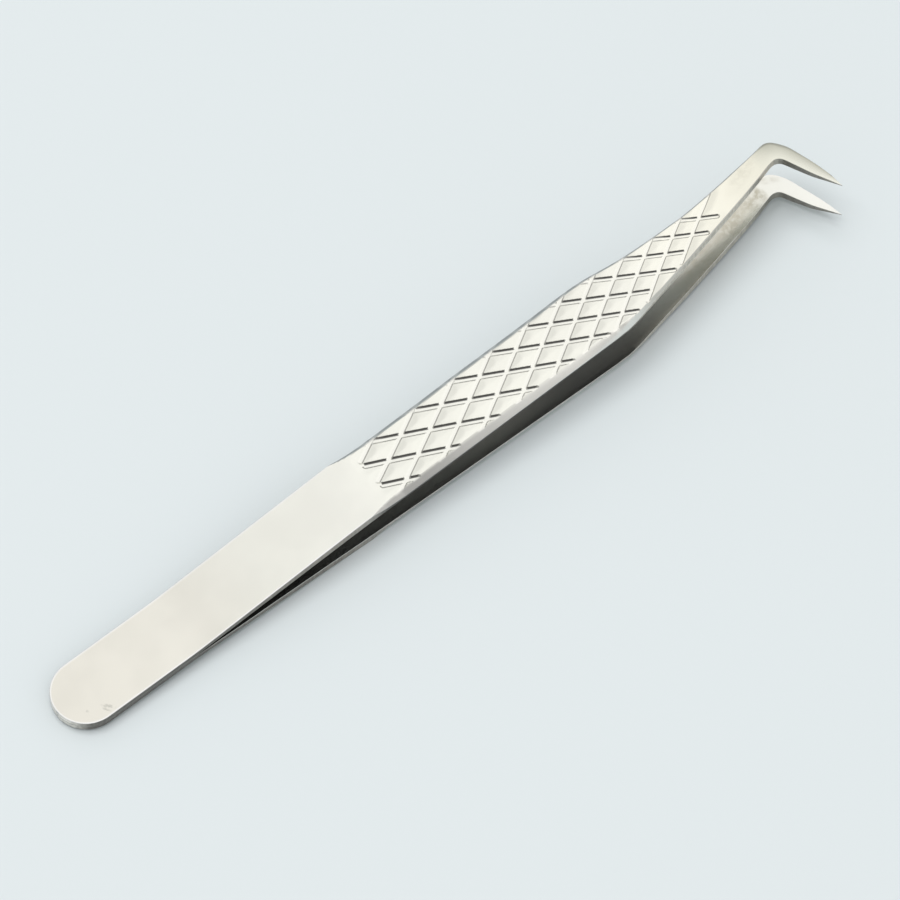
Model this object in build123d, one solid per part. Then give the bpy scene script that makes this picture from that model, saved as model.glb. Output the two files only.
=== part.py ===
"""Boot-tip lash tweezers with a diamond-cut grip, lying on the outer face of the lower arm.

Two mirror-image arms of spring stainless steel are spot welded face to face at the heel.
Every arm is drawn in the pair's own frame: X runs from the tail to the tips, Y runs across
the arm and Z = 0 is the plane midway between the arms.  lay_down() then sets the finished
pair on the table, with the grip of the lower arm flat on Z = 0 and the origin in the middle
of that resting face.
"""
import os
from math import atan, cos, degrees, hypot, sin

from build123d import *

# Plan of one arm, X from the tail end, Y across
TAIL_RADIUS = 5.0
WELD_END = 19.0            # the two strips are joined up to here
FLEXURE_END = 45.0         # straight-sided spring part ends here
KNEE_X = 95.0              # near edge turns in towards the neck
KNEE_HALF_WIDTH = 5.2
FAR_TAPER_X = 90.0         # far edge starts to taper here
NECK_X = 110.0             # narrowest swing of the far edge
NECK_FAR_Y = 3.27
BEND_OUT = (126.0, 4.68)   # far edge where the bend starts
BEND_IN = (127.3, 2.4)     # near edge at the inside of the bend
BEND_IN_RADIUS = 1.5
TIP = (132.2, -6.6)
TIP_LAND = 0.12            # width left on the ground point

# Heights above the mid plane, outer and inner face
LEAF = 0.855               # half of the heel
SPRING_SLOPE = 0.078       # rise of the outer face along the flexure
SPRING_TOP_X = 20.25       # where the flexure slope starts, before blending
GRIP_X = 50.25             # where the grip slope takes over
GRIP_SLOPE = 0.041
NECK_SLOPE = 0.010
INNER_SPRING_SLOPE = 0.060
INNER_GRIP_X = 50.0
INNER_KNEE_HEIGHT = 3.40
INNER_NECK_SLOPE = 0.0145
TIP_OUTER_HEIGHT = 4.14    # outer face at the very point
TIP_GRIND_Y = 2.3          # grinding of the point starts here

# Side bevels of the grip
BEVEL_START_X = 50.0
BEVEL_FULL_X = 54.5
BEVEL_FACE_HALF = 4.12     # half width left on the outer face
BEVEL_END_X = 108.0
BEVEL_RUN = 0.87           # sideways run for each mm of depth
BEVEL_DEPTH = 1.40

# Diamond grooves
GROOVE_WIDTH = 0.66
GROOVE_DEPTH = 0.20
FIRST_COLUMN_X = 57.2
FIRST_PITCH = 7.25
PITCH_RATIO = 0.95
COLUMNS = 11
ROW_HALF_SPAN = 3.85       # outermost crossings at the first column
ROW_TAPER = 0.00034
PATTERN_Y = 0.2            # the pattern sits a little to the far side
PATTERN_START_X = 53.0
PATTERN_END_X = 116.0
NECK_MARGIN = 0.55         # plain strip kept along the near edge of the neck

# Heel
NUGGET_RADIUS = 1.6
NUGGET_THICKNESS = 0.5
NUGGET_X = (6.5, 13.5)

# Edge break left by tumbling
EDGE_BREAK = 0.12

REST_X = 67.9              # centre of the diamond that sits over the origin


def outer_height(x):
    """Height of the outer face above the mid plane, before the corners are blended."""
    if x <= SPRING_TOP_X:
        return LEAF
    if x <= GRIP_X:
        return LEAF + SPRING_SLOPE * (x - SPRING_TOP_X)
    grip = LEAF + SPRING_SLOPE * (GRIP_X - SPRING_TOP_X)
    if x <= KNEE_X:
        return grip + GRIP_SLOPE * (x - GRIP_X)
    return grip + GRIP_SLOPE * (KNEE_X - GRIP_X) + NECK_SLOPE * (x - KNEE_X)


def inner_height(x):
    """Height of the inner face above the mid plane."""
    if x <= WELD_END:
        return 0.0
    if x <= INNER_GRIP_X:
        return INNER_SPRING_SLOPE * (x - WELD_END)
    start = INNER_SPRING_SLOPE * (INNER_GRIP_X - WELD_END)
    if x <= KNEE_X:
        share = (x - INNER_GRIP_X) / (KNEE_X - INNER_GRIP_X)
        return start + (INNER_KNEE_HEIGHT - start) * share
    return INNER_KNEE_HEIGHT + INNER_NECK_SLOPE * (x - KNEE_X)


def near_neck_y(x):
    """Straight near edge of the neck, from the knee to the inside of the bend."""
    slope = (BEND_IN[1] + KNEE_HALF_WIDTH) / (BEND_IN[0] - KNEE_X)
    return -KNEE_HALF_WIDTH + slope * (x - KNEE_X)


def arm_plan():
    """Outline of one arm seen from above."""
    tail = ThreePointArc((TAIL_RADIUS, -TAIL_RADIUS), (0, 0), (TAIL_RADIUS, TAIL_RADIUS))
    far_side = Line((TAIL_RADIUS, TAIL_RADIUS), (FLEXURE_END, TAIL_RADIUS))
    far_grip = Line((FLEXURE_END, TAIL_RADIUS), (FAR_TAPER_X, KNEE_HALF_WIDTH))
    far_neck = Spline(
        (FAR_TAPER_X, KNEE_HALF_WIDTH),
        (FAR_TAPER_X + 6.5, 4.45),
        (FAR_TAPER_X + 13.5, 3.48),
        (NECK_X, NECK_FAR_Y),
        (NECK_X + 9, 3.8),
        BEND_OUT,
        tangents=((1, 0), (1, 0.12)),
    )
    bend = Spline(
        BEND_OUT,
        (BEND_OUT[0] + 2.8, 4.0),
        (BEND_OUT[0] + 4.1, 1.55),
        (TIP[0] - 0.88, -2.0),
        TIP,
        tangents=((1, 0.12), (0.17, -1)),
    )
    inside_end = (BEND_IN[0] + 1.6, BEND_IN[1] - 3.2)
    point_end = (TIP[0] - TIP_LAND, TIP[1])
    point = Line(TIP, point_end)
    tip_inside = Spline(point_end, (130.0, -2.95), inside_end, tangents=((-0.5, 1), (-0.45, 0.9)))
    bend_inside = Line(inside_end, BEND_IN)
    neck = Line(BEND_IN, (KNEE_X + 3, near_neck_y(KNEE_X + 3)))
    knee = Spline(
        (KNEE_X + 3, near_neck_y(KNEE_X + 3)),
        (KNEE_X - 5, -KNEE_HALF_WIDTH + 0.06),
        tangents=((-1, -0.207), (-1, 0.01)),
    )
    near_grip = Line((KNEE_X - 5, -KNEE_HALF_WIDTH + 0.06), (FLEXURE_END, -TAIL_RADIUS))
    near_side = Line((FLEXURE_END, -TAIL_RADIUS), (TAIL_RADIUS, -TAIL_RADIUS))
    return make_face([tail, far_side, far_grip, far_neck, bend, point, tip_inside, bend_inside,
                      neck, knee, near_grip, near_side])


def side_profile():
    """Thickness of one arm seen from the side, in the XZ plane."""
    blend = 2.5
    end_x = TIP[0] + 3
    spring_in = (SPRING_TOP_X - blend, LEAF)
    spring_out = (SPRING_TOP_X + blend, outer_height(SPRING_TOP_X + blend))
    grip_in = (GRIP_X - 2 * blend, outer_height(GRIP_X - 2 * blend))
    grip_out = (GRIP_X + blend, outer_height(GRIP_X + blend))
    outer = [
        Line((-2, LEAF), spring_in),
        Spline(spring_in, spring_out, tangents=((1, 0), (1, SPRING_SLOPE))),
        Line(spring_out, grip_in),
        Spline(grip_in, grip_out, tangents=((1, SPRING_SLOPE), (1, GRIP_SLOPE))),
        Line(grip_out, (KNEE_X, outer_height(KNEE_X))),
        Line((KNEE_X, outer_height(KNEE_X)), (end_x, outer_height(end_x))),
    ]
    ends = [Line((end_x, outer_height(end_x)), (end_x, inner_height(end_x)))]
    inner = Polyline(
        (end_x, inner_height(end_x)),
        (KNEE_X, inner_height(KNEE_X)),
        (INNER_GRIP_X, inner_height(INNER_GRIP_X)),
        (WELD_END, 0),
        (-2, 0),
        (-2, LEAF),
    )
    return Plane.XZ * make_face(outer + ends + inner.edges())


def grip_skin():
    """Layer of the outer face that the diamond grooves are cut into."""
    start_x = PATTERN_START_X - 1
    end_x = PATTERN_END_X + 1
    lift = 1.0
    strip = Polyline(
        (start_x, outer_height(start_x) - GROOVE_DEPTH),
        (KNEE_X, outer_height(KNEE_X) - GROOVE_DEPTH),
        (end_x, outer_height(end_x) - GROOVE_DEPTH),
        (end_x, outer_height(end_x) + lift),
        (start_x, outer_height(start_x) + lift),
        close=True,
    )
    return extrude(Plane.XZ * make_face(strip), 9, both=True)


def column_x(k):
    """Position of lattice column k; columns close up towards the tips."""
    return FIRST_COLUMN_X + FIRST_PITCH * (1 - PITCH_RATIO ** k) / (1 - PITCH_RATIO)


def crossing(row, k):
    """Crossing point of the grooves on lattice row -3..3 at column k."""
    x = column_x(k)
    span = ROW_HALF_SPAN - ROW_TAPER * (x - FIRST_COLUMN_X) ** 2
    return Vector(x, PATTERN_Y + span * row / 2)


def groove(start, end):
    """Straight groove with round ends between two crossings."""
    middle = (start + end) * 0.5
    run = end - start
    length = hypot(run.X, run.Y)
    angle = degrees(atan(run.Y / run.X))
    return Pos(middle.X, middle.Y) * Rot(0, 0, angle) * SlotCenterToCenter(length, GROOVE_WIDTH)


def diamond_grooves():
    """Two families of crossing grooves, clipped clear of the near edge of the neck."""
    steps = []
    for half in range(-1, 2 * COLUMNS):
        for row in range(-3, 3):
            k = half / 2
            if (half + row) % 2 == 0:
                steps.append((crossing(row, k), crossing(row + 1, k + 0.5)))
            else:
                steps.append((crossing(row + 1, k), crossing(row, k + 0.5)))
    grooves = Sketch() + [groove(start, end) for start, end in steps]
    field = make_face(Polyline(
        (PATTERN_START_X, -2.4),
        (PATTERN_START_X + 3.2, -6.5),
        (KNEE_X - 2, -6.5),
        (KNEE_X + 1, near_neck_y(KNEE_X + 1) + NECK_MARGIN),
        (PATTERN_END_X, near_neck_y(PATTERN_END_X) + NECK_MARGIN),
        (PATTERN_END_X, 6.5),
        (PATTERN_START_X + 3.2, 6.5),
        (PATTERN_START_X, 2.4),
        close=True,
    ))
    prism = extrude(grooves & field, 9)
    return prism & grip_skin()


def grip_bevel(side):
    """Tool that bevels one side of the grip; side is +1 far, -1 near."""
    edge = Spline(
        (BEVEL_START_X, 5.6),
        (BEVEL_FULL_X, BEVEL_FACE_HALF + 0.15),
        (BEVEL_FULL_X + 10, BEVEL_FACE_HALF),
        (KNEE_X, BEVEL_FACE_HALF - 0.05),
        (BEVEL_END_X, BEVEL_FACE_HALF - 0.6),
    )
    outside = Polyline(
        (BEVEL_END_X, BEVEL_FACE_HALF - 0.6),
        (BEVEL_END_X, 9),
        (BEVEL_START_X, 9),
        (BEVEL_START_X, 5.6),
    )
    region = make_face([edge] + outside.edges())
    tilt = Plane(
        origin=(GRIP_X, 0, outer_height(GRIP_X)),
        x_dir=(1, 0, GRIP_SLOPE),
        z_dir=(-GRIP_SLOPE, 0, 1),
    )
    on_face = tilt * (Pos(-GRIP_X, 0) * region)
    down = Vector(0, BEVEL_RUN, -1)
    tool = extrude(on_face, amount=BEVEL_DEPTH * hypot(BEVEL_RUN, 1), dir=down)
    cap = extrude(on_face, amount=2, dir=Vector(0, 0, 1))
    tool = tool + cap
    if side < 0:
        return mirror(tool, about=Plane.XZ)
    return tool


def tip_grind():
    """Wedge ground off the outer face so the point tapers."""
    full = outer_height(TIP[0]) + 0.1
    wedge = Polyline(
        (TIP_GRIND_Y, full),
        (TIP[1] - 0.5, TIP_OUTER_HEIGHT - 0.08),
        (TIP[1] - 0.5, full + 3),
        (TIP_GRIND_Y, full + 3),
        close=True,
    )
    block = extrude(Plane.YZ * make_face(wedge), 10)
    return Pos(BEND_IN[0] + 0.2, 0, 0) * block


def whole_arm():
    """One complete strip from tail to point, in the pair's frame."""
    blank = extrude(arm_plan(), 9) & extrude(side_profile(), 12, both=True)
    inner_bend = [e for e in blank.edges().filter_by(Axis.Z)
                  if hypot(e.center().X - BEND_IN[0], e.center().Y - BEND_IN[1]) < 0.1]
    blank = fillet(inner_bend, BEND_IN_RADIUS)
    blank = blank - diamond_grooves()
    blank = blank - grip_bevel(1) - grip_bevel(-1)
    blank = blank - tip_grind()
    return blank


def weld_nuggets():
    """The two spot welds that join the strips, drawn as flat buttons."""
    button = Cylinder(NUGGET_RADIUS, NUGGET_THICKNESS)
    return [Pos(x, 0, 0) * button for x in NUGGET_X]


def heel(arm):
    """Welded part of a strip, with its share of each weld nugget cut out."""
    block = Box(WELD_END + 5, 20, 20, align=(Align.MAX, Align.CENTER, Align.CENTER))
    part = arm & (Pos(WELD_END, 0, 0) * block)
    for nugget in weld_nuggets():
        part = part - nugget
    outer_rim = part.faces().sort_by(Axis.Z)[-1].edges()
    outer_rim = [e for e in outer_rim if e.center().X < WELD_END - 0.1]
    return fillet(outer_rim, EDGE_BREAK)


def blade(arm):
    """Free part of a strip: flexure, grip, neck and point."""
    block = Box(200, 40, 20, align=(Align.MIN, Align.CENTER, Align.CENTER))
    return arm & (Pos(WELD_END, 0, 0) * block)


def lay_down(shape):
    """Set the pair on the table with the lower grip flat on Z = 0."""
    tilt = atan(GRIP_SLOPE)
    face = outer_height(REST_X)
    x = REST_X * cos(tilt) + face * sin(tilt)
    z = REST_X * sin(tilt) - face * cos(tilt)
    return Pos(-x, 0, -z) * Rot(0, -degrees(tilt), 0) * shape


def main():
    os.makedirs("parts", exist_ok=True)
    arm = whole_arm()
    upper_heel = heel(arm)
    upper_arm = blade(arm)
    nodes = {
        "upper_heel": upper_heel,
        "lower_heel": mirror(upper_heel, about=Plane.XY),
        "spot_welds": Compound(weld_nuggets()),
        "upper_arm": upper_arm,
        "lower_arm": mirror(upper_arm, about=Plane.XY),
    }
    for name, shape in nodes.items():
        export_step(lay_down(shape), f"parts/{name}.step")


main()
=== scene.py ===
"""Looks of the boot-tip lash tweezers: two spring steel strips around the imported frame.

Shape is worked out in millimetres in the pair's own frame (X from the tail to the tips, Y across,
Z = 0 midway between the strips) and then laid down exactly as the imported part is.
"""

import math

import bpy
import numpy as np
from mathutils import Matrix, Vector


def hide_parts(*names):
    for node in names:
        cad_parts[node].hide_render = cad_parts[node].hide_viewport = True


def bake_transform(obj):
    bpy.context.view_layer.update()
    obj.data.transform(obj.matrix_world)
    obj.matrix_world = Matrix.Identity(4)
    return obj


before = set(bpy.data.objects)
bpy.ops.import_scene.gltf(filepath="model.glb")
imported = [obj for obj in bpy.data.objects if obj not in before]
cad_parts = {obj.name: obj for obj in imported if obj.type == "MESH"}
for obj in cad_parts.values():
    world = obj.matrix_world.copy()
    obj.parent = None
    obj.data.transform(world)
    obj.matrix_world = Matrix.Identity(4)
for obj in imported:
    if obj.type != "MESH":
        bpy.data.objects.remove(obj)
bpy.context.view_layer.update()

MM = 0.001

# Plan of a strip
TAIL_RADIUS = 5.0
WELD_END = 19.0
GRIP_X = 50.0              # the grip starts here, after the thin flexure
KNEE_X = 95.0
TIP = (132.2, -6.6)

# Heights above the mid plane: (where the slope changes, new slope, half length of the blend)
LEAF = 0.855
FLEXURE_X = 20.25
FLEXURE_SLOPE = 0.078
FLEXURE_END_X = 50.25
GRIP_SLOPE = 0.041
OUTER_SLOPES = [(FLEXURE_X, FLEXURE_SLOPE, 2.5), (FLEXURE_END_X, GRIP_SLOPE, 3.8),
                (KNEE_X, 0.010, 2.0)]
INNER_SLOPES = [(WELD_END, 0.060, 0.4), (GRIP_X, 0.0342, 1.5), (KNEE_X, 0.0145, 1.5)]
REST_X = 67.9              # the lower grip lies flat on the table, centred here
THINNEST = 0.10            # the ground point keeps at least this much steel
THINNEST_BLEND = 0.25

# Outline of the strip: paired points on the near and the far edge, tail to point
NEAR_EDGE = [(45, -5.0), (66, -5.12), (90, -5.21), (94, -5.17), (96.5, -4.96), (102, -3.78),
             (107.6, -2.56), (115.25, -0.82), (120, 0.28), (123.8, 1.25)]
FAR_EDGE = [(45, 5.0), (50.2, 5.0), (52.5, 4.86), (56, 4.76), (66, 4.78), (72, 4.84),
            (79, 4.80), (86, 4.80), (90.5, 4.80), (94.5, 4.62), (99.9, 3.88), (104, 3.59),
            (109, 3.48), (113, 3.54), (118.9, 4.06), (123.8, 4.64)]
NEAR_TIP = [(123.8, 1.25), (125.2, 1.66), (126.5, 2.0), (127.3, 1.95), (127.9, 1.5),
            (128.3, 0.75), (128.75, -0.3), (129.87, -2.77), (131.0, -4.75), (132.1, -6.62)]
FAR_TIP = [(123.8, 4.64), (125.6, 4.90), (127.2, 5.04), (128.2, 4.88), (129.0, 4.22),
           (129.75, 2.98), (130.15, 1.93), (130.5, 0.62), (131.25, -2.1), (131.78, -4.4), TIP]

# Bevel along the grip: x, width in plan, depth
NEAR_BEVEL = [(50.2, 0.0, 0.0), (51.5, 0.32, 0.40), (53, 0.56, 0.72), (56, 0.84, 1.02),
              (65.6, 1.0, 1.12), (88, 1.05, 1.22), (94, 0.95, 1.30), (98, 0.42, 1.10),
              (104, 0.22, 0.60), (112, 0.12, 0.22), (125, 0.08, 0.08)]
FAR_BEVEL = [(50.2, 0.0, 0.0), (51.5, 0.25, 0.23), (53, 0.46, 0.42), (56, 0.68, 0.60),
             (65.6, 0.78, 0.68), (86, 0.80, 0.72), (90.5, 0.70, 0.62), (94.5, 0.56, 0.52),
             (99.9, 0.40, 0.36), (105, 0.32, 0.32), (126, 0.30, 0.34)]
BEVEL_CURL = [(58, 0.0), (75, 0.12), (88, 0.30), (96, 0.45), (126, 0.45)]  # near one only
BEVEL_END_X = 126
BEVEL_FADE_X = 125.5
BEVEL_FADE = 2.0
BEVEL_SOFTNESS = 0.008
NARROWEST = 1e-3           # stands in for a bevel of no width
WIDEST_RIM = 0.9           # a rim takes at most this share of the strip's width

# Rounding of the outer face's rim: x, width in plan, drop
NEAR_RIM = [(0, 0.07, 0.05), (48, 0.06, 0.05), (52, 0.02, 0.02), (95, 0.02, 0.02),
            (102, 0.05, 0.05), (123, 0.06, 0.05), (132.2, 0.05, 0.03)]
FAR_RIM = [(0, 0.07, 0.05), (50, 0.06, 0.05), (110, 0.08, 0.07), (122, 0.18, 0.14),
           (127.5, 0.60, 0.35), (129, 1.2, 0.58), (130.2, 1.1, 0.46), (131.2, 0.7, 0.22),
           (131.8, 0.30, 0.08), (132.2, 0.10, 0.02)]
INNER_RIM = [(0, 0.030), (19, 0.030), (30, 0.045), (95, 0.045), (104, 0.025), (132.2, 0.025)]

# Grinding of the point, on the outer face
TIP_GRIND_X = 126.6
TIP_GRIND_BLEND = 1.2
TIP_GRIND_Y = 2.6
TIP_GRIND_DEPTH = 1.06     # share of the height above TIP_OUTER_HEIGHT that is ground off
TIP_OUTER_HEIGHT = 4.10

# Diamond-cut grooves
# Half width at the rim, half width of the flat floor, depth, at column 0: first the grooves
# that fall towards the near edge as X grows, then the ones that rise towards the far edge
GROOVES = [(0.44, 0.20, 0.225), (0.35, 0.20, 0.225)]
SHORTEST_GROOVE = 1.0      # a shorter end piece isn't cut
GROOVE_TAPER = 0.0042      # share of its size a groove loses for each mm towards the tip
PILLOW_DROP = 0.050        # each island is worn down a little towards its rim
PILLOW_RUN = 1.15
FIRST_COLUMN_X = 57.2
FIRST_PITCH = 7.25
PITCH_RATIO = 0.95
COLUMNS = 11
ROW_HALF_SPAN = 3.85
ROW_TAPER = 0.00034
PATTERN_Y = 0.2
PATTERN_START_X = 54.35
PATTERN_END_X = 115.8
LAST_FAR_X = 113.0         # no falling groove starts past here above FAR_BAND
FAR_BAND = 3.0
LAST_NEAR_X = 113.5        # and no rising groove that ends below NEAR_BAND starts past here
NEAR_BAND = 1.0
LAST_RUN_OUT = (116.9, 3.82)         # the last rising groove inside this band runs on to here
RUN_OUT_BAND = (1.6, 3.2)
CLIP_STEPS = 41
GROOVE_REACH = 2.2         # no groove is felt further off in X than this
NECK_START_X = 92.5        # past here grooves stop short of the near edge
NECK_MARGIN = 0.45
TAIL_WALL = 0.16           # the tail side wall of a rising groove is wider, so less steep
FAR_FADE = 1.3             # falling grooves run out over this distance from the far edge
FADE_START = 0.15
FADE_LEAST = 0.15          # share of the depth that is left at the edge itself

# Painted shade on the groove walls and on the face beside them, with a touch of painted highlight
# on one wall, as a share of the tone
SHADED_TIP_WALL = 0.55        # a rising groove's wall on the tip side
LIT_TAIL_WALL = 1.02          # and on the tail side
SHADE_BESIDE_WALL = 0.87        # the face beside the dark wall, painted a little darker, back to full tone over the run below
SHADE_BESIDE_RUN = 1.3
SHADED_NEAR_WALL = 0.72        # a falling groove's near wall
SHADED_FAR_WALL = 0.12         # its far wall
SHADED_FAR_FOOT = 0.60        # and the foot of that wall
FALLING_SIDE = np.array([0.467, 0.884])    # square to the falling grooves
SQUARE_ON = 0.93           # below this a point is on the rounded end of a groove
CROSSING_CLEAR = 0.95
LINE_SLACK = 0.01
WALL_FOOT = 0.03

# Reflectance of the steel by place: x, red, green, blue. The tables are set stretch by stretch to
# how each stretch is lit, so besides the steel's own colour they carry painted light and shade
# Outer face: its lighter and darker stretches along the strip are painted light and shade.
OUTER_TONE = [(0, 0.645, 0.627, 0.575), (24, 0.660, 0.648, 0.600), (34, 0.690, 0.690, 0.645),
              (50, 0.705, 0.705, 0.665), (60, 0.725, 0.725, 0.675), (98, 0.725, 0.720, 0.670),
              (110, 0.755, 0.745, 0.675), (118, 0.725, 0.710, 0.630), (124, 0.700, 0.685, 0.600),
              (128, 0.630, 0.630, 0.560), (132.2, 0.700, 0.700, 0.640)]
TIP_FAR_TONE = (0.40, 0.40, 0.345)   # the tip's far side turns away from the light
TIP_TONE_X = 124.5
TIP_TONE_RUN = 3.0
TIP_TONE_ACROSS = (0.05, 0.80)       # shares of the width: where it starts, how far it runs
# Inner face: dark from the tail to the knee and lighter towards the point; the dark is painted
# shade where the arms face each other across the narrow gap.
INNER_TONE = [(0, 0.36, 0.36, 0.35), (30, 0.40, 0.40, 0.39), (50, 0.46, 0.46, 0.45),
              (75, 0.47, 0.47, 0.455), (86, 0.39, 0.39, 0.38), (97, 0.32, 0.32, 0.31),
              (106, 0.48, 0.475, 0.445), (116, 0.55, 0.54, 0.49), (122, 0.60, 0.59, 0.53),
              (126, 0.70, 0.70, 0.655), (132.2, 0.71, 0.71, 0.68)]
# Side faces: darker than the faces from their ground finish, and set stretch by stretch to how
# each side is lit, as painted light and shade; the bright start is a painted reflection of the
# table on the tail's end.
SIDE_TONE = [(0, 0.85, 0.81, 0.75), (0.7, 0.70, 0.67, 0.62), (2.2, 0.18, 0.170, 0.155),
             (8, 0.158, 0.150, 0.137), (16, 0.150, 0.142, 0.130), (19, 0.155, 0.147, 0.134),
             (28, 0.24, 0.228, 0.208), (46, 0.36, 0.33, 0.295), (54, 0.55, 0.525, 0.49),
             (86, 0.62, 0.59, 0.55), (93, 0.45, 0.42, 0.385), (99, 0.60, 0.555, 0.490),
             (121, 0.62, 0.575, 0.50), (124.5, 0.40, 0.375, 0.33), (127, 0.42, 0.395, 0.345),
             (129, 0.25, 0.235, 0.21), (132.2, 0.26, 0.245, 0.22)]
# Bevels: set along the strip to how each bevel is lit, so the near bevel's lightening towards the
# knee and the far bevel's dark grey are painted light and shade.
NEAR_BEVEL_TONE = [(50, 0.48, 0.475, 0.46), (60, 0.43, 0.428, 0.415), (68, 0.54, 0.537, 0.52),
                   (76, 0.67, 0.665, 0.642), (86, 0.80, 0.79, 0.755), (96, 0.79, 0.78, 0.74),
                   (101, 0.62, 0.585, 0.53), (126, 0.56, 0.53, 0.475)]
FAR_BEVEL_TONE = [(50, 0.34, 0.35, 0.345), (100, 0.34, 0.345, 0.34), (126, 0.24, 0.24, 0.235)]
BEVEL_TONE_BLEND = 0.35    # share of a bevel's width over which the face's tone runs into its own
EDGE_HIGHLIGHT_TONE = (0.72, 0.71, 0.68)  # painted highlight along the rim of the inner face
EDGE_HIGHLIGHT_WIDTH = 0.06
EDGE_HIGHLIGHT_X = (22, 119)
RIM_HIGHLIGHT = 0.74            # painted highlight along the rim of the outer face, tail to grip
RIM_HIGHLIGHT_REACH = 0.22
RIM_HIGHLIGHT_FULL = 1.4        # over 1, so that the rim is fully bright before its edge
RIM_HIGHLIGHT_END_X = 52
RIM_HIGHLIGHT_FADE = 4
# Near side under the upper bevel, which reflects the dark part of the room: x, share
GRIP_SHADE = [(49, 1.0), (53, 0.20), (60, 0.18), (68, 0.12), (76, 0.105), (86, 0.125),
              (93, 0.17), (98, 1.0)]

# Mesh density: rows across the faces, rings along the strip
FACE_ROWS = 94
EDGE_ROWS = 7              # rows beside each edge that aren't moved onto a groove
EDGE_SHARES = [0, 0.003, 0.007, 0.012, 0.019, 0.028]
INNER_ROWS = 18
INNER_EDGE_SHARES = [0, 0.0022, 0.0065]
SIDE_SHARES = (0.03, 0.22, 0.5, 0.78, 0.97)
SIDE_ROWS = len(SIDE_SHARES)
TAIL_RINGS = 26
TAIL_CAP_HALF_ANGLE = 2.2  # degrees of the round tail that are cut flat, each side of the axis
PLAIN_START_X = 5.6
PLAIN_STEP = 0.62
GRIP_STEP = 0.115
GRIP_END_X = 117.2
NECK_RINGS_X = 117.4
NECK_RINGS = 20
TIP_RINGS = 78
SHARP_ANGLE = 16
FAR_AWAY = 1e9
NEARBY = 3.0               # an outline's stretch further off in X than this isn't measured

# Camera: matches the photograph's view of the frame
CAMERA_TARGET = Vector((-0.000882, -0.000655, 0.0))
CAMERA_AZIMUTH = -38.853
CAMERA_ELEVATION = 60.205
CAMERA_DISTANCE = 1.13085
CAMERA_LENS = 330.5


# ---------------------------------------------------------------- shape of a strip

def ramp(x, start, blend):
    """x - start above the start and 0 below it, with the corner blended over +-blend."""
    u = np.clip((x - start + blend) / (2 * blend), 0, 1)
    return np.where(u < 1, blend * u * u, x - start)


def sloped(x, first, slopes):
    """Height of a face whose slope changes at each named place."""
    height = np.full(np.shape(x), float(first))
    slope = 0.0
    for start, new_slope, blend in slopes:
        height = height + (new_slope - slope) * ramp(x, start, blend)
        slope = new_slope
    return height


def outer_height(x):
    return sloped(x, LEAF, OUTER_SLOPES)


def inner_height(x):
    return sloped(x, 0.0, INNER_SLOPES)


def at_x(x, rows, column):
    """Value of a named column at x, straight between the given rows."""
    return np.interp(x, [r[0] for r in rows], [r[column] for r in rows])


def smooth_curve(points, at):
    """Catmull-Rom curve through the points; at runs from 0 to the last point's index."""
    p = np.array(points, float)
    p = np.vstack([2 * p[0] - p[1], p, 2 * p[-1] - p[-2]])
    i = np.clip(np.floor(at).astype(int), 0, len(points) - 2)
    u = (at - i)[:, None]
    a, b, c, d = p[i], p[i + 1], p[i + 2], p[i + 3]
    return 0.5 * (2 * b + (c - a) * u + (2 * a - 5 * b + 4 * c - d) * u ** 2
                  + (3 * b - a - 3 * c + d) * u ** 3)


def edge_y(points, x):
    """Height in plan of an edge that is a function of x."""
    dense = smooth_curve(points, np.linspace(0, len(points) - 1, 40 * len(points)))
    return np.interp(x, dense[:, 0], dense[:, 1])


def stations():
    """Paired points on the near and the far edge of the strip, tail to point."""
    turn = np.linspace(math.radians(TAIL_CAP_HALF_ANGLE), math.pi / 2, TAIL_RINGS)
    tail_x = TAIL_RADIUS * (1 - np.cos(turn))
    plain_x = np.arange(PLAIN_START_X, GRIP_X, PLAIN_STEP)
    grip_x = np.arange(GRIP_X, GRIP_END_X, GRIP_STEP)
    neck_x = np.linspace(NECK_RINGS_X, NEAR_TIP[0][0], NECK_RINGS)[:-1]
    x = np.concatenate([tail_x, plain_x, grip_x, neck_x])
    half = np.where(x < TAIL_RADIUS, np.sqrt(np.clip(x * (2 * TAIL_RADIUS - x), 0, None)),
                    TAIL_RADIUS)
    straight = x < NEAR_EDGE[0][0]
    near_y = np.where(straight, -half, edge_y(NEAR_EDGE, x))
    far_y = np.where(straight, half, edge_y(FAR_EDGE, x))
    at = np.linspace(0, len(NEAR_TIP) - 1, TIP_RINGS)
    near = np.vstack([np.stack([x, near_y], 1), smooth_curve(NEAR_TIP, at)])
    far = np.vstack([np.stack([x, far_y], 1), smooth_curve(FAR_TIP, at)])
    return near, far


def distance_to_line(points, line):
    """Distance in plan from each point to an open polyline."""
    best = np.full(len(points), FAR_AWAY)
    for a, b in zip(line[:-1], line[1:]):
        run = b - a
        close = np.abs(points[:, 0] - 0.5 * (a[0] + b[0])) < NEARBY
        q = points[close]
        t = np.clip((q - a) @ run / float(run @ run), 0, 1)
        gap = np.hypot(q[:, 0] - a[0] - t * run[0], q[:, 1] - a[1] - t * run[1])
        best[close] = np.minimum(best[close], gap)
    return best


def column_x(k):
    return FIRST_COLUMN_X + FIRST_PITCH * (1 - PITCH_RATIO ** k) / (1 - PITCH_RATIO)


def crossing(row, k):
    """Crossing point of the grooves on lattice row -4..4 at column k, which may be a half."""
    x = column_x(k)
    span = ROW_HALF_SPAN - ROW_TAPER * (x - FIRST_COLUMN_X) ** 2
    return np.array([x, PATTERN_Y + span * row / 2])


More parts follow.
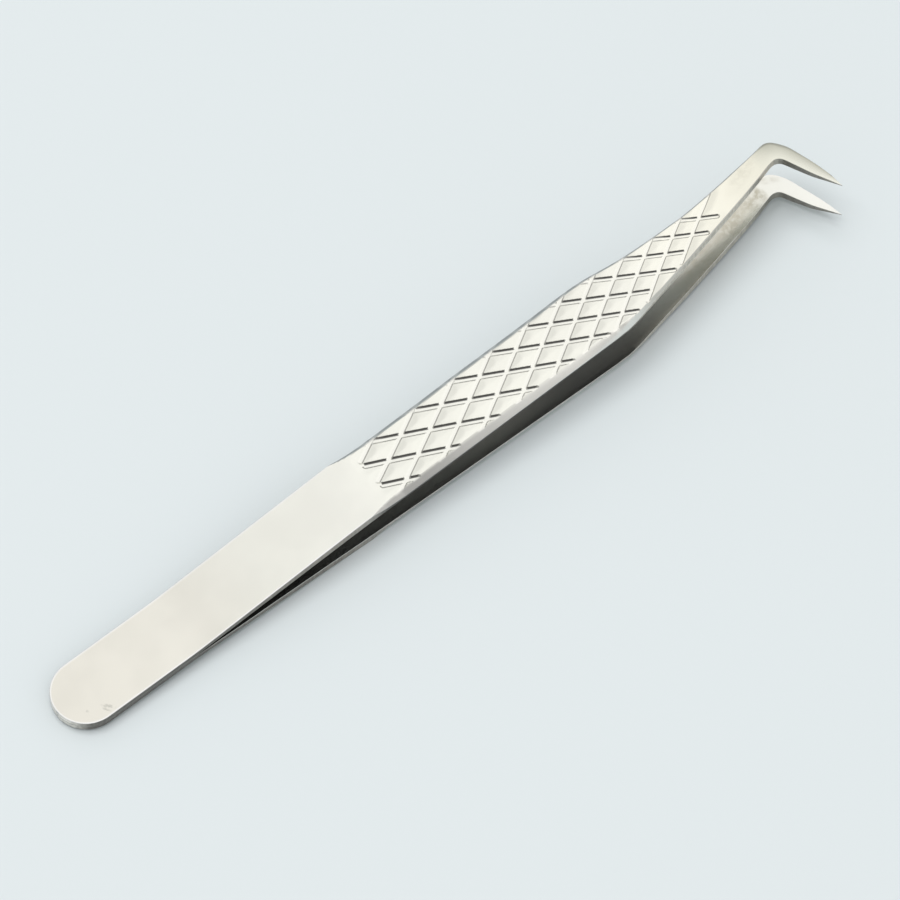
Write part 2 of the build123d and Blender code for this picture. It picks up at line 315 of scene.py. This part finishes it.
def clip_groove(a, b):
    """The part of a groove inside the pattern's field, or None."""
    keep = []
    for t in np.linspace(0, 1, CLIP_STEPS):
        x, y = a + (b - a) * t
        margin = float(edge_y(NEAR_EDGE, x)) + NECK_MARGIN
        if PATTERN_START_X <= x <= PATTERN_END_X and (x < NECK_START_X or y > margin):
            keep.append(t)
    if not keep or (keep[-1] - keep[0]) * np.hypot(*(b - a)) < SHORTEST_GROOVE:
        return None
    start, end = a + (b - a) * keep[0], a + (b - a) * keep[-1]
    if a[0] > LAST_FAR_X and b[1] < a[1] and a[1] > FAR_BAND:
        return None
    if start[0] > LAST_NEAR_X and a[1] < b[1] < NEAR_BAND:
        return None
    return start, end


def groove_segments():
    """Every straight piece of groove between two crossings, for each of the two directions."""
    pieces = [[], []]
    for half in range(-1, 2 * COLUMNS):
        for row in range(-4, 4):
            k = half / 2
            rising = (half + row) % 2 == 0
            low, high = (row, row + 1) if rising else (row + 1, row)
            piece = clip_groove(crossing(low, k), crossing(high, k + 0.5))
            if piece is not None:
                pieces[1 if rising else 0].append(piece)
    low, high = RUN_OUT_BAND
    last = max((end for _, end in pieces[1] if low < end[1] < high), key=lambda end: end[0])
    pieces[1].append((last, np.array(LAST_RUN_OUT)))
    return pieces


def groove_distance(points, pieces):
    """Distance to the nearest groove's centre line, and the direction away from it."""
    best = np.full(len(points), FAR_AWAY)
    away = np.zeros((len(points), 2))
    for a, b in pieces:
        run = b - a
        close = np.abs(points[:, 0] - 0.5 * (a[0] + b[0])) < abs(run[0]) / 2 + GROOVE_REACH
        q = points[close]
        t = np.clip((q - a) @ run / float(run @ run), 0, 1)
        offset = q - a - t[:, None] * run
        gap = np.hypot(offset[:, 0], offset[:, 1])
        better = gap < best[close]
        where = np.flatnonzero(close)[better]
        best[where] = gap[better]
        away[where] = offset[better] / np.maximum(gap[better], 1e-6)[:, None]
    return best, away


def groove_size(x):
    """Grooves narrow towards the tip as the diamonds do."""
    return 1 - GROOVE_TAPER * (x - FIRST_COLUMN_X)


def groove_drop(gap, size, profile, wider=0.0):
    """Depth below the outer face at a distance from a groove's centre line."""
    rim, floor_edge, depth = [v * size for v in profile]
    rim = rim + wider
    wall = np.clip((gap - floor_edge) / (rim - floor_edge), 0, 1)
    return depth * (1 - wall)


def pillow(gap, size):
    """Each island is worn down a little towards its grooves."""
    u = np.clip((gap - GROOVES[0][0] * size) / PILLOW_RUN, 0, 1)
    return PILLOW_DROP * (1 - u * u * (3 - 2 * u))


def snap_to_rims(points, pieces, spacing, free):
    """Slides vertices sideways onto the rim and floor lines of the grooves, so walls are crisp."""
    size = groove_size(points[:, 0])
    reach = 0.5 * np.minimum(spacing, GRIP_STEP)
    moved = np.zeros(len(points), bool)
    for profile, family in zip(GROOVES, pieces):
        rim, floor_edge = profile[0] * size, profile[1] * size
        gap, away = groove_distance(points, family)
        if family is pieces[1]:
            rim = rim + TAIL_WALL * size * (away[:, 0] < 0)
        target = np.where(gap > (rim + floor_edge) / 2, rim, floor_edge)
        near_line = (np.abs(gap - target) < reach) & free & ~moved
        shift = np.where(near_line, target - gap, 0.0)
        points = points + away * shift[:, None]
        moved |= near_line
    return points


def rim_drop(d, width, drop):
    """Drop of a quarter round that runs in from the edge over its width."""
    u = np.clip(1 - d / np.maximum(width, 1e-6), 0, 1)
    return drop * (1 - np.sqrt(1 - u ** 2))


def soft_max(a, b, k):
    """The larger of a and b, with the corner between them blended over k."""
    h = np.clip(0.5 + 0.5 * (a - b) / k, 0, 1)
    return b + (a - b) * h + k * h * (1 - h)


def shade(rows, x):
    """Reflectance at x from one of the tone lists."""
    return np.column_stack([at_x(x, rows, k) for k in (1, 2, 3)])


def outer_tone(flat, d_near, d_far, across):
    """Reflectance of the outer face and its bevels, with a painted highlight along its rim and
    painted shade on the point's far side.
    """
    x = flat[:, 0]
    tone = shade(OUTER_TONE, x)
    start, run = TIP_TONE_ACROSS
    tip = np.clip((x - TIP_TONE_X) / TIP_TONE_RUN, 0, 1) * np.clip((across - start) / run, 0, 1)
    tone = tone + (np.array(TIP_FAR_TONE) - tone) * tip[:, None]
    # Painted highlight along the outer face's rim, from the tail to the grip.
    rim = np.clip(RIM_HIGHLIGHT_FULL - np.minimum(d_near, d_far) / RIM_HIGHLIGHT_REACH, 0, 1)
    rim = rim * np.clip((RIM_HIGHLIGHT_END_X - x) / RIM_HIGHLIGHT_FADE, 0, 1)
    tone = tone + (RIM_HIGHLIGHT - tone) * rim[:, None]
    for d, bevel, rows in ((d_near, NEAR_BEVEL, NEAR_BEVEL_TONE),
                           (d_far, FAR_BEVEL, FAR_BEVEL_TONE)):
        wide = np.maximum(at_x(x, bevel, 1), NARROWEST)
        on = np.clip((1 - d / wide) / BEVEL_TONE_BLEND, 0, 1) * (x < BEVEL_END_X)
        tone = tone + (shade(rows, x) - tone) * on[:, None]
    return tone


def groove_wall(gap, size, profile):
    """Which points are on the wall of a groove, with a little slack for its two lines."""
    rim, floor_edge = profile[0] * size, profile[1] * size
    return (gap > floor_edge - LINE_SLACK) & (gap < rim + LINE_SLACK)


def painted_groove_shade(flat, pieces):
    """Painted shade on the groove walls and beside them, with a touch of painted highlight, as a
    share of the tone.
    """
    size = groove_size(flat[:, 0])
    falling_gap, falling_away = groove_distance(flat, pieces[0])
    rising_gap, rising_away = groove_distance(flat, pieces[1])
    rising_rim = GROOVES[1][0] * size
    share = np.ones(len(flat))

    tip_side = rising_away[:, 0] > 0
    beside = (rising_gap >= rising_rim) & tip_side
    beyond = np.clip((rising_gap - rising_rim) / SHADE_BESIDE_RUN, 0, 1)
    share[beside] = SHADE_BESIDE_WALL + (1 - SHADE_BESIDE_WALL) * beyond[beside]
    wall = groove_wall(rising_gap, size, GROOVES[1])
    wall &= falling_gap > GROOVES[0][0] * size * CROSSING_CLEAR
    share[wall & tip_side] = SHADED_TIP_WALL
    share[wall & ~tip_side] = LIT_TAIL_WALL

    wall = groove_wall(falling_gap, size, GROOVES[0]) & (rising_gap > rising_rim)
    wall &= np.abs(falling_away @ FALLING_SIDE) > SQUARE_ON
    near_side = falling_away[:, 1] < 0
    above_foot = falling_gap > GROOVES[0][1] * size + WALL_FOOT
    share[wall & near_side] = SHADED_NEAR_WALL
    share[wall & ~near_side] = SHADED_FAR_FOOT
    share[wall & ~near_side & above_foot] = SHADED_FAR_WALL
    return share


def outer_drop(points, d_near, d_far, width, pieces):
    """How far the outer surface lies below the plain outer face."""
    x, y = points[:, 0], points[:, 1]
    size = groove_size(x)
    cut = np.zeros(len(x))
    gap = np.full(len(x), FAR_AWAY)
    for profile, family in zip(GROOVES, pieces):
        own, away = groove_distance(points, family)
        falling = family is pieces[0]
        fade = np.clip((d_far - FADE_START) / FAR_FADE, FADE_LEAST, 1) if falling else 1.0
        wider = 0.0 if falling else TAIL_WALL * size * (away[:, 0] < 0)
        cut = np.maximum(cut, groove_drop(own, size, profile, wider) * fade)
        gap = np.minimum(gap, own)
    cut = cut + pillow(gap, size)
    for d, bevel, rim in ((d_near, NEAR_BEVEL, NEAR_RIM), (d_far, FAR_BEVEL, FAR_RIM)):
        wide = np.maximum(at_x(x, bevel, 1), NARROWEST)
        share = np.clip(1 - d / wide, 0, 1)
        curl = at_x(x, BEVEL_CURL, 1) if bevel is NEAR_BEVEL else 0.0
        slope = at_x(x, bevel, 2) * share ** (1 + curl)
        slope = slope * (1 - np.clip((x - BEVEL_FADE_X) / BEVEL_FADE, 0, 1))
        cut = soft_max(cut, slope, BEVEL_SOFTNESS)
        limit = np.minimum(at_x(x, rim, 1), WIDEST_RIM * width)
        share = limit / at_x(x, rim, 1)
        cut = cut + rim_drop(d, limit, at_x(x, rim, 2) * share)
    return cut + tip_grind(x, y), gap


def tip_grind(x, y):
    """Extra drop that thins the point, growing from the bend down to its end."""
    full = outer_height(x) - TIP_OUTER_HEIGHT
    down = np.clip((TIP_GRIND_Y - y) / (TIP_GRIND_Y - TIP[1]), 0, 1.02)
    on_tip = np.clip((x - TIP_GRIND_X) / TIP_GRIND_BLEND, 0, 1)
    return full * down ** 2.0 * TIP_GRIND_DEPTH * on_tip * on_tip * (3 - 2 * on_tip)


def spread(count, edge):
    """Fractions 0..1 across the face, closer together near both edges."""
    inner = np.linspace(edge[-1], 1 - edge[-1], count - 2 * len(edge) + 2)
    return np.concatenate([edge[:-1], inner, 1 - np.array(edge[:-1])[::-1]])


def across_strip(near, far, rows):
    """Points in plan across the strip, ring by ring, and the strip's width at each of them."""
    grid = near[:, None, :] + (far - near)[:, None, :] * rows[None, :, None]
    width = np.repeat(np.hypot(*(far - near).T), len(rows))
    return grid.reshape(-1, 2), width


def edge_distances(flat, near, far):
    """Distances to the near and the far edge; the flat end of the tail counts as either."""
    tail_cap = distance_to_line(flat, np.array([far[0], near[0]]))
    d_near = np.minimum(distance_to_line(flat, near), tail_cap)
    d_far = np.minimum(distance_to_line(flat, far), tail_cap)
    return d_near, d_far


def outer_face(near, far):
    """Points, groove depth and tone of the outer face, ring by ring."""
    count = len(near)
    rows = spread(FACE_ROWS, EDGE_SHARES)
    flat, width = across_strip(near, far, rows)
    pieces = groove_segments()
    free = np.ones((count, FACE_ROWS), bool)
    free[:, :EDGE_ROWS] = False
    free[:, -EDGE_ROWS:] = False
    flat = snap_to_rims(flat, pieces, width / FACE_ROWS, free.ravel())
    d_near, d_far = edge_distances(flat, near, far)
    drop, gap = outer_drop(flat, d_near, d_far, width, pieces)

    x = flat[:, 0]
    z = soft_max(outer_height(x) - drop, inner_height(x) + THINNEST, THINNEST_BLEND)
    off_near_bevel = d_near > at_x(x, NEAR_BEVEL, 1)
    on_face = off_near_bevel & (d_far > at_x(x, FAR_BEVEL, 1))
    groove = np.clip(1 - gap / (GROOVES[0][0] * groove_size(x)), 0, 0.5) * 2 * off_near_bevel
    tone = outer_tone(flat, d_near, d_far, np.tile(rows, count))
    # Painted shade and highlight on and beside the groove walls.
    tone[on_face] *= painted_groove_shade(flat, pieces)[on_face, None]
    shape = (count, FACE_ROWS)
    return (np.column_stack([flat, z]).reshape(*shape, 3), groove.reshape(shape),
            tone.reshape(*shape, 3))


def inner_face(near, far):
    """Points and tone of the inner face, ring by ring."""
    flat, width = across_strip(near, far, spread(INNER_ROWS, INNER_EDGE_SHARES))
    x = flat[:, 0]
    d_edge = np.minimum(*edge_distances(flat, near, far))
    rim = at_x(x, INNER_RIM, 1)
    lift = rim_drop(d_edge, rim, rim) * np.clip(width, 0.2, 1)
    tone = shade(INNER_TONE, x)
    # Painted highlight along the rim of the inner face.
    highlit = (d_edge < EDGE_HIGHLIGHT_WIDTH) & (x > EDGE_HIGHLIGHT_X[0]) & (x < EDGE_HIGHLIGHT_X[1])
    tone[highlit] = EDGE_HIGHLIGHT_TONE
    shape = (len(near), INNER_ROWS, 3)
    return np.column_stack([flat, inner_height(x) + lift]).reshape(shape), tone.reshape(shape)


def strip_rings():
    """Rings of points around the strip, tail to point, with their groove depth and tone."""
    near, far = stations()
    top, groove, tone_top = outer_face(near, far)
    bottom, tone_bottom = inner_face(near, far)
    share = np.array(SIDE_SHARES)[None, :, None]
    near_side = top[:, :1] + (bottom[:, :1] - top[:, :1]) * share
    far_side = bottom[:, -1:] + (top[:, -1:] - bottom[:, -1:]) * share
    ring = np.concatenate([top[:, ::-1], near_side, bottom, far_side], axis=1)
    rest = np.zeros((len(near), ring.shape[1] - FACE_ROWS))
    depth = np.concatenate([groove[:, ::-1], rest], axis=1)
    tone_side = np.repeat(shade(SIDE_TONE, near[:, 0])[:, None], SIDE_ROWS, 1)
    tone = np.concatenate([tone_top[:, ::-1], tone_side, tone_bottom, tone_side], axis=1)
    return ring, depth, tone


def strip_faces(ring):
    """Quads between rings, split along the better diagonal on the outer face, and end caps."""
    count, around = ring.shape[:2]
    index = np.arange(count * around).reshape(count, around)
    nxt = np.roll(index, -1, axis=1)
    a, b, c, d = index[:-1], index[1:], nxt[1:], nxt[:-1]
    z = ring[:, :, 2].ravel()
    quads = np.stack([a, b, c, d], -1)
    on_face = np.zeros(around, bool)
    on_face[:FACE_ROWS - 1] = True
    face = quads[:, on_face].reshape(-1, 4)
    rest = quads[:, ~on_face].reshape(-1, 4)
    flat_ac = np.abs(z[face[:, 0]] - z[face[:, 2]])
    flat_bd = np.abs(z[face[:, 1]] - z[face[:, 3]])
    ac = flat_ac <= flat_bd
    tris = np.concatenate([
        face[ac][:, [0, 1, 2]], face[ac][:, [0, 2, 3]],
        face[~ac][:, [0, 1, 3]], face[~ac][:, [1, 2, 3]],
    ])
    caps = [index[0][::-1].tolist(), index[-1].tolist()]
    return tris.tolist() + rest.tolist() + caps


def lay_down(points):
    """Pair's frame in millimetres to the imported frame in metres."""
    tilt = math.atan(GRIP_SLOPE)
    c, s = math.cos(tilt), math.sin(tilt)
    rise = FLEXURE_SLOPE * (FLEXURE_END_X - FLEXURE_X) + GRIP_SLOPE * (REST_X - FLEXURE_END_X)
    face = LEAF + rise
    x = points[:, 0] * c - points[:, 2] * s - (REST_X * c + face * s)
    z = points[:, 0] * s + points[:, 2] * c - (REST_X * s - face * c)
    return np.column_stack([x, points[:, 1], z]) * MM


def add_layer(mesh, name, kind, field, values):
    layer = mesh.attributes.new(name, kind, "POINT")
    layer.data.foreach_set(field, values.astype(np.float32).ravel())


def make_strip(name, ring, depth, tone, side, material):
    """One strip as a closed mesh; side is +1 for the upper arm and -1 for the lower."""
    around = ring.shape[1]
    own = ring.reshape(-1, 3) * np.array([1, 1, side])
    faces = strip_faces(ring)
    if side > 0:
        faces = [f[::-1] for f in faces]
    mesh = bpy.data.meshes.new(name)
    mesh.from_pydata(lay_down(own).tolist(), [], faces)
    mesh.validate()
    mesh.update()
    mesh.polygons.foreach_set("use_smooth", [True] * len(mesh.polygons))
    mesh.set_sharp_from_angle(angle=math.radians(SHARP_ANGLE))

    near_side = slice(FACE_ROWS, FACE_ROWS + SIDE_ROWS)
    ground = np.zeros(around)
    ground[near_side] = 1
    ground[-SIDE_ROWS:] = 1
    if side > 0:
        tone = tone.copy()
        tone[:, near_side] *= at_x(ring[:, 0, 0], GRIP_SHADE, 1)[:, None, None]
    place = own + np.array([0, 0, 0 if side > 0 else LOWER_Z])
    opaque = np.concatenate([tone.reshape(-1, 3), np.ones((len(own), 1))], axis=1)
    add_layer(mesh, "strip_mm", "FLOAT_VECTOR", "vector", place)
    add_layer(mesh, "ground", "FLOAT", "value", np.tile(ground, len(ring)))
    add_layer(mesh, "groove", "FLOAT", "value", depth)
    add_layer(mesh, "tone", "FLOAT_COLOR", "color", opaque)
    obj = bpy.data.objects.new(name, mesh)
    bpy.context.scene.collection.objects.link(obj)
    mesh.materials.append(material)
    return obj


# ---------------------------------------------------------------- materials

class Nodes:
    """Short hand for building the node tree of a material or a world."""

    def __init__(self, owner):
        owner.use_nodes = True
        self.tree = owner.node_tree
        self.tree.nodes.clear()

    def add(self, kind, **settings):
        node = self.tree.nodes.new(kind)
        for key, value in settings.items():
            setattr(node, key, value)
        return node

    def link(self, source, target):
        self.tree.links.new(source, target)

    def math(self, operation, a, b=0.0):
        node = self.add("ShaderNodeMath", operation=operation)
        for socket, value in zip(node.inputs, (a, b)):
            if isinstance(value, (int, float)):
                socket.default_value = value
            else:
                self.link(value, socket)
        return node.outputs[0]

    def attribute(self, name, output="Fac"):
        return self.add("ShaderNodeAttribute", attribute_name=name).outputs[output]

    def noise(self, vector, scale, detail=3.0, stretch=(1, 1, 1), turn=0.0, rough=0.5):
        mapping = self.add("ShaderNodeMapping")
        mapping.inputs["Scale"].default_value = stretch
        mapping.inputs["Rotation"].default_value = (0, 0, math.radians(turn))
        self.link(vector, mapping.inputs["Vector"])
        noise = self.add("ShaderNodeTexNoise")
        noise.inputs["Scale"].default_value = scale
        noise.inputs["Detail"].default_value = detail
        noise.inputs["Roughness"].default_value = rough
        self.link(mapping.outputs[0], noise.inputs["Vector"])
        return noise.outputs["Fac"]

    def ramp(self, value, low, high, to_low=0.0, to_high=1.0):
        node = self.add("ShaderNodeMapRange", interpolation_type="SMOOTHSTEP")
        node.inputs["From Min"].default_value = low
        node.inputs["From Max"].default_value = high
        node.inputs["To Min"].default_value = to_low
        node.inputs["To Max"].default_value = to_high
        self.link(value, node.inputs["Value"])
        return node.outputs["Result"]

    def scale(self, colour, factor):
        node = self.add("ShaderNodeVectorMath", operation="SCALE")
        self.link(colour, node.inputs[0])
        self.link(factor, node.inputs["Scale"])
        return node.outputs[0]

    def bump(self, height, strength, distance):
        node = self.add("ShaderNodeBump")
        node.inputs["Strength"].default_value = strength
        node.inputs["Distance"].default_value = distance
        self.link(height, node.inputs["Height"])
        return node.outputs[0]

    def finish(self, shader):
        out = self.add("ShaderNodeOutputMaterial")
        self.link(shader.outputs[0], out.inputs["Surface"])

    def metal(self, colour, roughness, normal):
        shader = self.add("ShaderNodeBsdfPrincipled")
        shader.inputs["Metallic"].default_value = 1.0
        self.link(colour, shader.inputs["Base Color"])
        self.link(roughness, shader.inputs["Roughness"])
        self.link(normal, shader.inputs["Normal"])
        self.finish(shader)

    def mix(self, factor, a, b):
        node = self.add("ShaderNodeMix", data_type="RGBA")
        for name, value in (("A", a), ("B", b)):
            socket = [s for s in node.inputs if s.name == name and s.type == "RGBA"][0]
            if isinstance(value, tuple):
                socket.default_value = (*value, 1)
            else:
                self.link(value, socket)
        if isinstance(factor, (int, float)):
            node.inputs[0].default_value = factor
        else:
            self.link(factor, node.inputs[0])
        return [s for s in node.outputs if s.type == "RGBA"][0]


# Marks of use: centre in the strip's own place coordinates, reach, turn, strength
LOWER_Z = 40.0              # the lower strip's place coordinates are lifted by this much
SCUFFS = [((5.80, -3.68, 0.86), (0.40, 1.3, 0.6), 40, 0.60),
          ((5.35, -3.95, 0.86), (0.30, 0.9, 0.6), 30, 0.50),
          ((3.06, -2.39, 0.86), (0.60, 0.3, 0.6), -55, 0.35)]
SCUFF_COLOUR = (0.36, 0.36, 0.33)
SMUDGES = [((125.3, 3.2, LOWER_Z - 3.8), (1.2, 1.9, 3.0), 10, 0.95),
           ((123.6, 2.8, LOWER_Z - 3.8), (2.0, 2.2, 3.0), 60, 0.70),
           ((119.5, 2.2, LOWER_Z - 3.7), (5.0, 2.4, 3.0), 20, 0.62),
           ((112.0, 0.6, LOWER_Z - 3.6), (7.5, 2.6, 3.0), 15, 0.50),
           ((127.6, 4.2, LOWER_Z - 3.8), (2.6, 0.9, 3.0), -35, 0.30),
           ((122.0, 3.1, 5.3), (5.0, 1.6, 3.0), 20, 0.22)]
SMUDGE_COLOUR = (0.36, 0.335, 0.265)
GROOVE_COLOUR = (0.78, 0.775, 0.75)


def spot(n, place, centre, reach, turn):
    """1 at the centre of a mark, fading to 0 at its reach."""
    mapping = n.add("ShaderNodeMapping", vector_type="TEXTURE")
    mapping.inputs["Location"].default_value = centre
    mapping.inputs["Rotation"].default_value = (0, 0, math.radians(turn))
    mapping.inputs["Scale"].default_value = reach
    n.link(place, mapping.inputs["Vector"])
    length = n.add("ShaderNodeVectorMath", operation="LENGTH")
    n.link(mapping.outputs[0], length.inputs[0])
    return n.ramp(length.outputs["Value"], 1.0, 0.15)


def strip_steel():
    """Satin stainless steel: fine grain, streaked sides, a few scuffs and smudges."""
    material = bpy.data.materials.new("satin_steel")
    n = Nodes(material)
    place = n.attribute("strip_mm", "Vector")
    ground = n.attribute("ground")
    groove = n.attribute("groove")

    grain = n.noise(place, 9.0, 2.0, (0.35, 1.0, 1.0))
    cloud = n.noise(place, 0.16, 3.0)
    streak = n.noise(place, 3.2, 2.0, (1.0, 0.12, 0.12), 32.0)
    fleck = n.noise(place, 1.1, 5.0, rough=0.65)

    # The tone attribute carries the steel's colour together with the painted light and shade set
    # in the tone tables.
    colour = n.attribute("tone", "Color")
    colour = n.scale(colour, n.ramp(cloud, 0.3, 0.7, 0.975, 1.02))
    ribs = n.math("MULTIPLY", n.ramp(streak, 0.3, 0.7, -0.16, 0.16), ground)
    colour = n.scale(colour, n.math("ADD", ribs, 1.0))
    colour = n.mix(n.math("MULTIPLY", groove, 0.30), colour, GROOVE_COLOUR)
    broken = n.ramp(fleck, 0.38, 0.52)
    for centre, reach, turn, strength in SCUFFS:
        mark = n.math("MULTIPLY", spot(n, place, centre, reach, turn), broken)
        colour = n.mix(n.math("MULTIPLY", mark, strength), colour, SCUFF_COLOUR)
    patchy = n.ramp(n.noise(place, 1.1, 5.0, rough=0.62), 0.34, 0.62, 0.25, 1.0)
    for centre, reach, turn, strength in SMUDGES:
        mark = n.math("MULTIPLY", spot(n, place, centre, reach, turn), patchy)
        colour = n.mix(n.math("MULTIPLY", mark, strength), colour, SMUDGE_COLOUR)

    rough = n.math("ADD", n.math("MULTIPLY", grain, 0.06), 0.17)
    rough = n.math("ADD", rough, n.math("MULTIPLY", ground, 0.12))

    side_streaks = n.math("MULTIPLY", n.math("MULTIPLY", streak, ground), 3.0)
    n.metal(colour, rough, n.bump(n.math("ADD", grain, side_streaks), 0.10, 0.02 * MM))
    return material


def weld_metal():
    """Resolidified weld metal: grey, rougher, with a mottled heat tint."""
    material = bpy.data.materials.new("weld_metal")
    n = Nodes(material)
    place = n.add("ShaderNodeTexCoord").outputs["Object"]
    mottle = n.noise(place, 900.0, 4.0)
    colour = n.mix(mottle, (0.30, 0.28, 0.25), (0.52, 0.49, 0.44))
    n.metal(colour, n.ramp(mottle, 0.3, 0.7, 0.4, 0.6), n.bump(mottle, 0.4, 0.05 * MM))
    return material


def table_surface():
    """Plain pale table."""
    material = bpy.data.materials.new("pale_table")
    n = Nodes(material)
    place = n.add("ShaderNodeTexCoord").outputs["Object"]
    soft = n.noise(place, 6.0, 2.0)
    colour = n.mix(soft, (0.637, 0.688, 0.702), (0.649, 0.701, 0.715))
    shader = n.add("ShaderNodeBsdfPrincipled")
    shader.inputs["Roughness"].default_value = 0.7
    shader.inputs["Specular IOR Level"].default_value = 0.2
    n.link(colour, shader.inputs["Base Color"])
    n.finish(shader)
    return material


# ---------------------------------------------------------------- studio

def floor():
    half = 2.0
    mesh = bpy.data.meshes.new("table")
    corners = [(-half, -half, 0), (half, -half, 0), (half, half, 0), (-half, half, 0)]
    mesh.from_pydata(corners, [], [(0, 1, 2, 3)])
    obj = bpy.data.objects.new("table", mesh)
    bpy.context.scene.collection.objects.link(obj)
    mesh.materials.append(table_surface())


def camera():
    a, e = math.radians(CAMERA_AZIMUTH), math.radians(CAMERA_ELEVATION)
    look = Vector((-math.sin(a) * math.cos(e), math.cos(a) * math.cos(e), -math.sin(e)))
    data = bpy.data.cameras.new("camera")
    data.lens = CAMERA_LENS
    data.sensor_width = 36.0
    data.clip_start = 0.01
    obj = bpy.data.objects.new("camera", data)
    obj.location = CAMERA_TARGET - look * CAMERA_DISTANCE
    obj.rotation_euler = look.to_track_quat("-Z", "Y").to_euler()
    bpy.context.scene.collection.objects.link(obj)
    bpy.context.scene.camera = obj


def key_light():
    """Soft light overhead, aimed at the part; the steel doesn't reflect it."""
    data = bpy.data.lights.new("key", "AREA")
    data.shape = "DISK"
    data.size = KEY_SIZE
    data.energy = KEY_WATTS
    data.color = KEY_COLOUR
    obj = bpy.data.objects.new("key", data)
    obj.location = KEY_PLACE
    obj.rotation_euler = (-Vector(KEY_PLACE)).to_track_quat("-Z", "Y").to_euler()
    obj.visible_glossy = False
    bpy.context.scene.collection.objects.link(obj)


# What the steel reflects: white overhead and past the tips, greyer past the tail and the near
# side. The steps are brightness by the cosine of the angle to the axis.
SKY_AXIS = (0.55, -0.28, 0.79)
SKY_STEPS = [(0.00, 0.58), (0.30, 0.64), (0.50, 0.74), (0.60, 0.86), (0.68, 0.985), (0.74, 1.0)]
WALL_AXIS = (-0.766, -0.643, 0.0)
WALL_STEPS = [(0.00, 1.0), (0.25, 0.97), (0.38, 0.88), (0.50, 0.70), (0.66, 0.50), (0.80, 0.45)]
SKY_STRENGTH = 1.32
SKY_COLOUR = (1.0, 0.995, 0.975)

# What lights the table: an even sky, so the shadow stays faint, and the key light overhead
EVEN_STRENGTH = 0.72
BACKDROP = (0.80, 0.84, 0.85)        # what the camera sees past the table
KEY_PLACE = (-0.25, 0.40, 2.15)
KEY_SIZE = 1.6
KEY_WATTS = 26.5
KEY_COLOUR = (1.0, 0.99, 0.98)


def falloff(n, direction, axis, steps):
    """Brightness by the angle between a direction and an axis, as a colour ramp."""
    dot = n.add("ShaderNodeVectorMath", operation="DOT_PRODUCT")
    dot.inputs[1].default_value = Vector(axis).normalized()
    n.link(direction, dot.inputs[0])
    curve = n.add("ShaderNodeValToRGB")
    elements = curve.color_ramp.elements
    while len(elements) < len(steps):
        elements.new(0.5)
    for element, (at, value) in zip(elements, steps):
        element.position = at
        element.color = (value, value, value, 1)
    n.link(dot.outputs["Value"], curve.inputs["Fac"])
    return curve.outputs["Color"]


def background(n, strength, colour=None):
    node = n.add("ShaderNodeBackground")
    node.inputs["Strength"].default_value = strength
    if colour is not None:
        node.inputs["Color"].default_value = (*colour, 1)
    return node


def choose(n, when, otherwise, chosen):
    """One background where a ray is of a kind, and another where it isn't."""
    node = n.add("ShaderNodeMixShader")
    n.link(when, node.inputs["Fac"])
    n.link(otherwise.outputs[0], node.inputs[1])
    n.link(chosen.outputs[0], node.inputs[2])
    return node


def surroundings():
    world = bpy.data.worlds.new("studio")
    bpy.context.scene.world = world
    n = Nodes(world)
    direction = n.add("ShaderNodeTexCoord").outputs["Generated"]
    both = n.add("ShaderNodeVectorMath", operation="MULTIPLY")
    n.link(falloff(n, direction, SKY_AXIS, SKY_STEPS), both.inputs[0])
    n.link(falloff(n, direction, WALL_AXIS, WALL_STEPS), both.inputs[1])
    tint = n.add("ShaderNodeVectorMath", operation="MULTIPLY")
    n.link(both.outputs[0], tint.inputs[0])
    tint.inputs[1].default_value = SKY_COLOUR
    reflected = background(n, SKY_STRENGTH)
    n.link(tint.outputs[0], reflected.inputs["Color"])
    even = background(n, EVEN_STRENGTH, (1.0, 1.0, 1.0))
    backdrop = background(n, 1.0, BACKDROP)
    ray = n.add("ShaderNodeLightPath")
    light = choose(n, ray.outputs["Is Glossy Ray"], even, reflected)
    seen = choose(n, ray.outputs["Is Camera Ray"], light, backdrop)
    out = n.add("ShaderNodeOutputWorld")
    n.link(seen.outputs[0], out.inputs["Surface"])


# ---------------------------------------------------------------- build


steel = strip_steel()
ring, depth, tone = strip_rings()
upper = make_strip("upper_strip", ring, depth, tone, 1, steel)
lower = make_strip("lower_strip", ring, depth, tone, -1, steel)

# Each strip's placement is baked into its mesh
for strip, arm in ((upper, "upper_arm"), (lower, "lower_arm")):
    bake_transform(strip)
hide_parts("upper_heel", "upper_arm")
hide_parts("lower_heel", "lower_arm")

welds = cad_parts["spot_welds"]
welds.data.materials.clear()
welds.data.materials.append(weld_metal())

floor()
camera()
surroundings()
key_light()
bpy.context.scene.view_settings.view_transform = "Standard"
